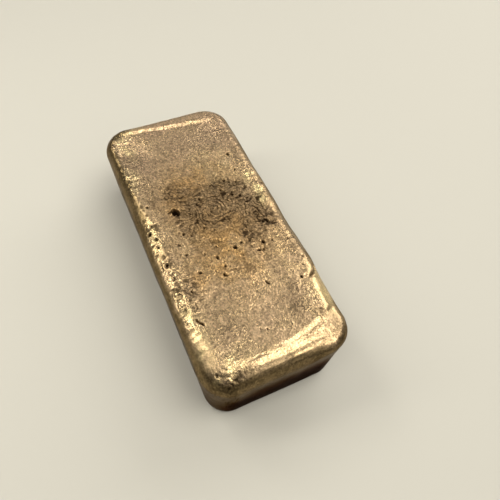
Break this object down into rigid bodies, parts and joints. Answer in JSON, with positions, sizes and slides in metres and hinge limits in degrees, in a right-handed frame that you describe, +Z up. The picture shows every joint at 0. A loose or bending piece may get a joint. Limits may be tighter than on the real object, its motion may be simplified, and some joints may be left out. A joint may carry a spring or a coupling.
{
  "type": "metal ingot",
  "caption": "Small brass bar cast in an open mould, with rounded corners, tapered walls and a rough, pitted poured face.",
  "frame": {"origin": "middle of the flat base that the bar lies on", "axes": "+X along the bar's length, +Y across its width, +Z up through the poured face"},
  "size_m": [0.0914, 0.0404, 0.0235],
  "materials": {
    "cast_brass": "as cast, satin with crusted patches"
  },
  "bodies": {
    "root": {"ingot": "cast_brass"}
  },
  "joints": []
}
